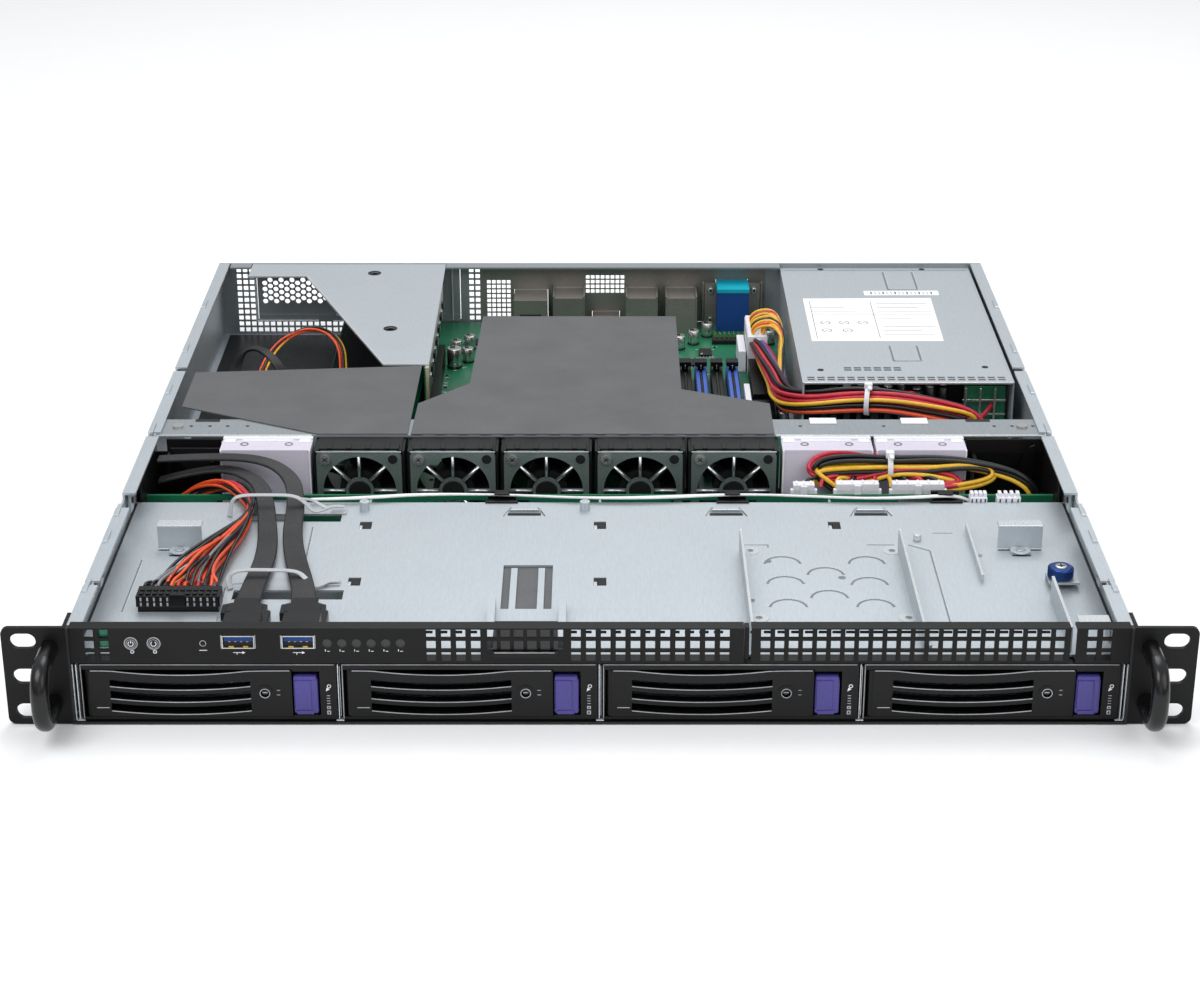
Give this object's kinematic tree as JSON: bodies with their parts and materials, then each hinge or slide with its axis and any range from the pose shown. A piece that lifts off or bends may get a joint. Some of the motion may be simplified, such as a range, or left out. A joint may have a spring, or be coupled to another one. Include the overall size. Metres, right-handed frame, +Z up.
{
  "type": "rack server",
  "caption": "Shallow sheet-metal rack server, lid off: swappable drive trays with levers, a fan row, a board with cooler and riser, and a power supply.",
  "frame": {"origin": "on the underside, in the middle of the width, in the plane of the rack ears' front faces", "axes": "+X to the right as seen from the front, +Y from the front to the rear, +Z up"},
  "size_m": [0.4826, 0.4866, 0.0437],
  "materials": {
    "zinc_steel": "zinc-plated sheet",
    "plated_steel": "nickel-plated steel",
    "black_steel": "satin black paint",
    "black_plastic": "satin black moulding",
    "dark_plastic": "grained dark grey sheet",
    "grey_plastic": "grey-green moulding",
    "white_plastic": "natural nylon",
    "purple_plastic": "moulded, slightly glossy",
    "blue_metal": "blue anodised",
    "green_board": "solder-masked laminate",
    "fin_metal": "plain extruded",
    "cable_sheath": "smooth sheath"
  },
  "bodies": {
    "chassis": {"air_shrouds": "dark_plastic", "bay_partitions": "zinc_steel", "board_sockets": "black_plastic", "chassis_tray": "zinc_steel", "cpu_cooler": "fin_metal", "deck_fittings": "zinc_steel", "drive_backplane": "green_board", "drive_deck": "zinc_steel", "expansion_cover": "zinc_steel", "fan_fillers": "white_plastic", "fan_frames": "black_plastic", "fan_guards": "grey_plastic", "fan_wall": "zinc_steel", "front_bezel": "black_steel", "front_io_board": "green_board", "io_plate": "plated_steel", "motherboard": "green_board", "power_cables": "cable_sheath", "psu_case": "zinc_steel", "psu_core": "green_board", "psu_fan_frame": "black_plastic", "psu_inlet": "black_plastic", "rack_ears": "black_steel", "rack_handles": "black_steel", "rear_panel": "zinc_steel", "rear_ports": "plated_steel", "riser_cage": "zinc_steel", "riser_card": "green_board", "screws": "plated_steel", "side_baffles": "black_plastic", "signal_cables": "cable_sheath", "slim_bay_blank": "black_steel", "wire_straps": "white_plastic"},
    "drive_tray_1": {"drive_tray_1": "black_plastic"},
    "tray_lever_1": {"tray_lever_1": "black_plastic"},
    "tray_button_1": {"tray_button_1": "purple_plastic"},
    "drive_tray_2": {"drive_tray_2": "black_plastic"},
    "tray_lever_2": {"tray_lever_2": "black_plastic"},
    "tray_button_2": {"tray_button_2": "purple_plastic"},
    "drive_tray_3": {"drive_tray_3": "black_plastic"},
    "tray_lever_3": {"tray_lever_3": "black_plastic"},
    "tray_button_3": {"tray_button_3": "purple_plastic"},
    "drive_tray_4": {"drive_tray_4": "black_plastic"},
    "tray_lever_4": {"tray_lever_4": "black_plastic"},
    "tray_button_4": {"tray_button_4": "purple_plastic"},
    "power_button": {"power_button": "black_plastic"},
    "identify_button": {"identify_button": "black_plastic"},
    "reset_button": {"reset_button": "black_plastic"},
    "info_tag": {"info_tag": "black_plastic"},
    "fan_rotor_1": {"fan_rotor_1": "black_plastic"},
    "fan_rotor_2": {"fan_rotor_2": "black_plastic"},
    "fan_rotor_3": {"fan_rotor_3": "black_plastic"},
    "fan_rotor_4": {"fan_rotor_4": "black_plastic"},
    "fan_rotor_5": {"fan_rotor_5": "black_plastic"},
    "psu_fan_rotor": {"psu_fan_rotor": "black_plastic"},
    "thumbscrew": {"thumbscrew": "blue_metal"},
    "memory_latch_1": {"memory_latch_1": "black_plastic"},
    "memory_latch_2": {"memory_latch_2": "black_plastic"},
    "memory_latch_3": {"memory_latch_3": "black_plastic"},
    "memory_latch_4": {"memory_latch_4": "black_plastic"}
  },
  "joints": [
    {"name": "tray_1_slide", "type": "slide", "parent": "chassis", "child": "drive_tray_1", "axis": [0, -1, 0], "range_m": [0, 0.14]},
    {"name": "lever_1_hinge", "type": "hinge", "parent": "drive_tray_1", "child": "tray_lever_1", "pos_m": [-0.2072, 0.0032, 0.0136], "axis": [0, 0, -1], "range_deg": [0, 65]},
    {"name": "tray_1_button_press", "type": "slide", "parent": "drive_tray_1", "child": "tray_button_1", "axis": [0, 1, 0], "range_m": [0, 0.002], "stiffness_N_per_m": 500},
    {"name": "tray_2_slide", "type": "slide", "parent": "chassis", "child": "drive_tray_2", "axis": [0, -1, 0], "range_m": [0, 0.14]},
    {"name": "lever_2_hinge", "type": "hinge", "parent": "drive_tray_2", "child": "tray_lever_2", "pos_m": [-0.1012, 0.0032, 0.0136], "axis": [0, 0, -1], "range_deg": [0, 65]},
    {"name": "tray_2_button_press", "type": "slide", "parent": "drive_tray_2", "child": "tray_button_2", "axis": [0, 1, 0], "range_m": [0, 0.002], "stiffness_N_per_m": 500},
    {"name": "tray_3_slide", "type": "slide", "parent": "chassis", "child": "drive_tray_3", "axis": [0, -1, 0], "range_m": [0, 0.14]},
    {"name": "lever_3_hinge", "type": "hinge", "parent": "drive_tray_3", "child": "tray_lever_3", "pos_m": [0.0048, 0.0032, 0.0136], "axis": [0, 0, -1], "range_deg": [0, 65]},
    {"name": "tray_3_button_press", "type": "slide", "parent": "drive_tray_3", "child": "tray_button_3", "axis": [0, 1, 0], "range_m": [0, 0.002], "stiffness_N_per_m": 500},
    {"name": "tray_4_slide", "type": "slide", "parent": "chassis", "child": "drive_tray_4", "axis": [0, -1, 0], "range_m": [0, 0.14]},
    {"name": "lever_4_hinge", "type": "hinge", "parent": "drive_tray_4", "child": "tray_lever_4", "pos_m": [0.1108, 0.0032, 0.0136], "axis": [0, 0, -1], "range_deg": [0, 65]},
    {"name": "tray_4_button_press", "type": "slide", "parent": "drive_tray_4", "child": "tray_button_4", "axis": [0, 1, 0], "range_m": [0, 0.002], "stiffness_N_per_m": 500},
    {"name": "power_press", "type": "slide", "parent": "chassis", "child": "power_button", "axis": [0, 1, 0], "range_m": [0, 0.0008], "stiffness_N_per_m": 400},
    {"name": "identify_press", "type": "slide", "parent": "chassis", "child": "identify_button", "axis": [0, 1, 0], "range_m": [0, 0.0008], "stiffness_N_per_m": 400},
    {"name": "reset_press", "type": "slide", "parent": "chassis", "child": "reset_button", "axis": [0, 1, 0], "range_m": [0, 0.0008], "stiffness_N_per_m": 400},
    {"name": "tag_slide", "type": "slide", "parent": "chassis", "child": "info_tag", "axis": [0, -1, 0], "range_m": [0, 0.02]},
    {"name": "fan_1_spin", "type": "hinge", "parent": "chassis", "child": "fan_rotor_1", "pos_m": [-0.1134, 0.2, 0.0213], "axis": [0, 1, 0], "continuous": true},
    {"name": "fan_2_spin", "type": "hinge", "parent": "chassis", "child": "fan_rotor_2", "pos_m": [-0.0693, 0.2, 0.0213], "axis": [0, 1, 0], "continuous": true},
    {"name": "fan_3_spin", "type": "hinge", "parent": "chassis", "child": "fan_rotor_3", "pos_m": [-0.0252, 0.2, 0.0213], "axis": [0, 1, 0], "continuous": true},
    {"name": "fan_4_spin", "type": "hinge", "parent": "chassis", "child": "fan_rotor_4", "pos_m": [0.0189, 0.2, 0.0213], "axis": [0, 1, 0], "continuous": true},
    {"name": "fan_5_spin", "type": "hinge", "parent": "chassis", "child": "fan_rotor_5", "pos_m": [0.063, 0.2, 0.0213], "axis": [0, 1, 0], "continuous": true},
    {"name": "psu_fan_spin", "type": "hinge", "parent": "chassis", "child": "psu_fan_rotor", "pos_m": [0.18, 0.445, 0.021], "axis": [0, 1, 0], "continuous": true},
    {"name": "thumbscrew_turn", "type": "hinge", "parent": "chassis", "child": "thumbscrew", "pos_m": [0.1975, 0.0715, 0.0355], "axis": [0, 0, 1], "continuous": true},
    {"name": "memory_latch_1_hinge", "type": "hinge", "parent": "chassis", "child": "memory_latch_1", "pos_m": [0.0454, 0.3625, 0.0121], "axis": [-1, 0, 0], "range_deg": [0, 35]},
    {"name": "memory_latch_2_hinge", "type": "hinge", "parent": "chassis", "child": "memory_latch_2", "pos_m": [0.0538, 0.3625, 0.0121], "axis": [-1, 0, 0], "range_deg": [0, 35]},
    {"name": "memory_latch_3_hinge", "type": "hinge", "parent": "chassis", "child": "memory_latch_3", "pos_m": [0.0622, 0.3625, 0.0121], "axis": [-1, 0, 0], "range_deg": [0, 35]},
    {"name": "memory_latch_4_hinge", "type": "hinge", "parent": "chassis", "child": "memory_latch_4", "pos_m": [0.0706, 0.3625, 0.0121], "axis": [-1, 0, 0], "range_deg": [0, 35]}
  ]
}
